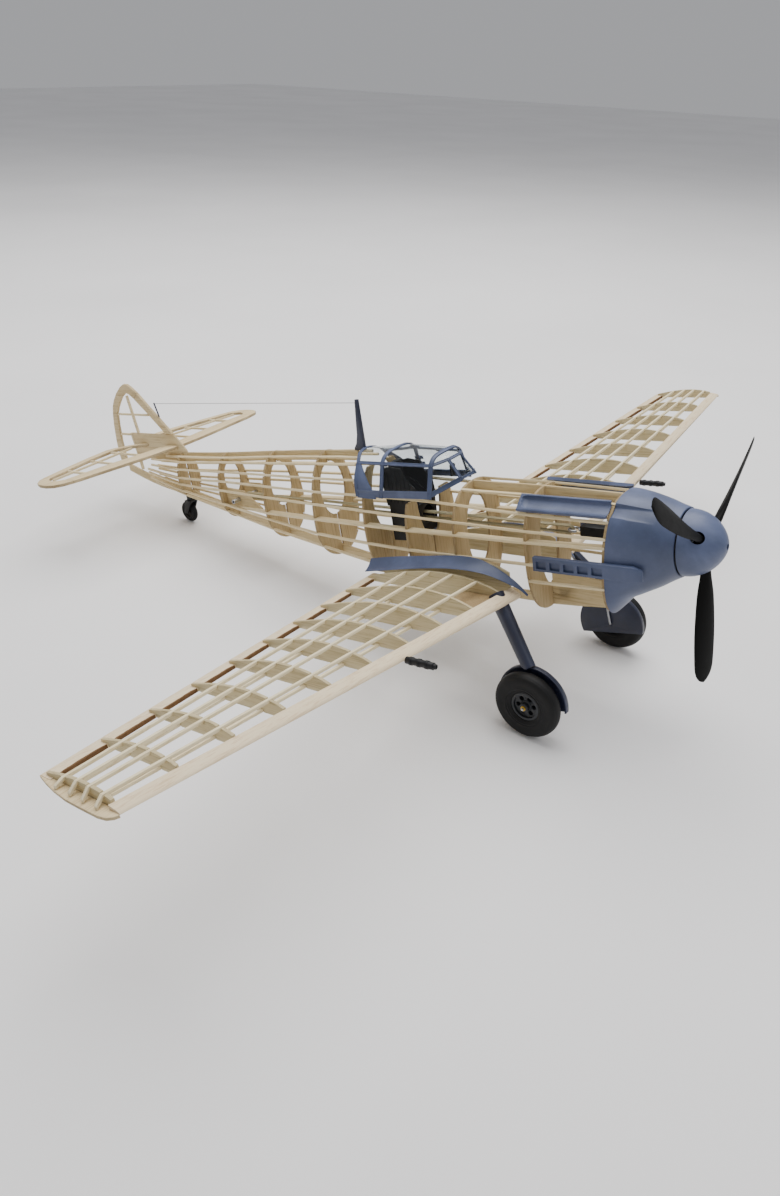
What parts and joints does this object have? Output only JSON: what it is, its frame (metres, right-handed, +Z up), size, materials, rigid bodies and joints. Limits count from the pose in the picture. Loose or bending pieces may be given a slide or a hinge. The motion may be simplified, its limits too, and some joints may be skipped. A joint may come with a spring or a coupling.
{
  "type": "rubber-powered model aeroplane",
  "caption": "Uncovered balsa stick-and-former model fighter aeroplane with a rubber-driven propeller, sliding-style canopy, wheeled undercarriage and open wing ribs.",
  "frame": {"origin": "on the ground under the middle of the model's bounding box, standing on its three wheels", "axes": "+X towards the nose, level with the ground; +Y towards the port wing tip; +Z up"},
  "size_m": [0.5176, 0.616, 0.1675],
  "materials": {
    "balsa_sheet": "matte",
    "balsa_strip": "matte",
    "blue_grey_paint": "satin",
    "dark_blue_paint": "satin",
    "black_plastic": "satin",
    "tyre": "matte",
    "wire": "satin",
    "aluminium_tube": "satin",
    "rubber_strip": "matte",
    "clear_glazing": "gloss"
  },
  "bodies": {
    "airframe": {"former_1": "balsa_sheet", "former_2": "balsa_sheet", "former_3": "balsa_sheet", "former_4": "balsa_sheet", "former_5": "balsa_sheet", "former_6": "balsa_sheet", "former_7": "balsa_sheet", "former_8": "balsa_sheet", "former_9": "balsa_sheet", "top_keels": "balsa_sheet", "bottom_keel": "balsa_sheet", "side_keels": "balsa_sheet", "stringers_right": "balsa_strip", "stringers_left": "balsa_strip", "peg_plates": "balsa_sheet", "motor_peg": "aluminium_tube", "rubber_motor": "rubber_strip", "thrust_bearing": "black_plastic", "cowl": "blue_grey_paint", "exhaust_covers": "blue_grey_paint", "gun_troughs": "blue_grey_paint", "canopy_frame": "blue_grey_paint", "canopy_glazing": "clear_glazing", "cockpit_seat": "black_plastic", "radio_mast": "dark_blue_paint", "aerial_wire": "wire", "aerial_post": "dark_blue_paint", "ribs_right": "balsa_sheet", "ribs_left": "balsa_sheet", "leading_edge_right": "balsa_strip", "leading_edge_left": "balsa_strip", "trailing_edge_right": "balsa_strip", "trailing_edge_left": "balsa_strip", "wing_tip_right": "balsa_strip", "wing_tip_left": "balsa_strip", "wing_stringers_right": "balsa_strip", "wing_stringers_left": "balsa_strip", "wing_fillets": "blue_grey_paint", "wing_cannons": "black_plastic", "gear_plates": "balsa_sheet", "gear_legs": "dark_blue_paint", "gear_wires": "wire", "wheel_covers": "dark_blue_paint", "tail_strut": "black_plastic", "stabiliser_frame": "balsa_strip", "stabiliser_ribs": "balsa_strip", "fin_frame": "balsa_strip", "fin_ribs": "balsa_strip", "fin_plate": "balsa_sheet"},
    "propeller_set": {"prop_shaft": "wire", "spinner": "blue_grey_paint", "propeller": "black_plastic"},
    "wheel_right": {"tyre_right": "tyre", "hub_right": "dark_blue_paint"},
    "wheel_left": {"tyre_left": "tyre", "hub_left": "dark_blue_paint"},
    "tail_wheel_set": {"tail_wheel": "tyre"}
  },
  "joints": [
    {"name": "propeller_spin", "type": "hinge", "parent": "airframe", "child": "propeller_set", "pos_m": [0.1952, 0, 0.11246], "axis": [0.9767, 0, 0.2146], "continuous": true, "deforming": ["rubber_motor"]},
    {"name": "wheel_right_spin", "type": "hinge", "parent": "airframe", "child": "wheel_right", "pos_m": [0.17925, -0.0585, 0.0206], "axis": [0, 1, 0], "continuous": true},
    {"name": "wheel_left_spin", "type": "hinge", "parent": "airframe", "child": "wheel_left", "pos_m": [0.17925, 0.0585, 0.0206], "axis": [0, 1, 0], "continuous": true},
    {"name": "tail_wheel_spin", "type": "hinge", "parent": "airframe", "child": "tail_wheel_set", "pos_m": [-0.17311, 0, 0.0087], "axis": [0, 1, 0], "continuous": true}
  ]
}
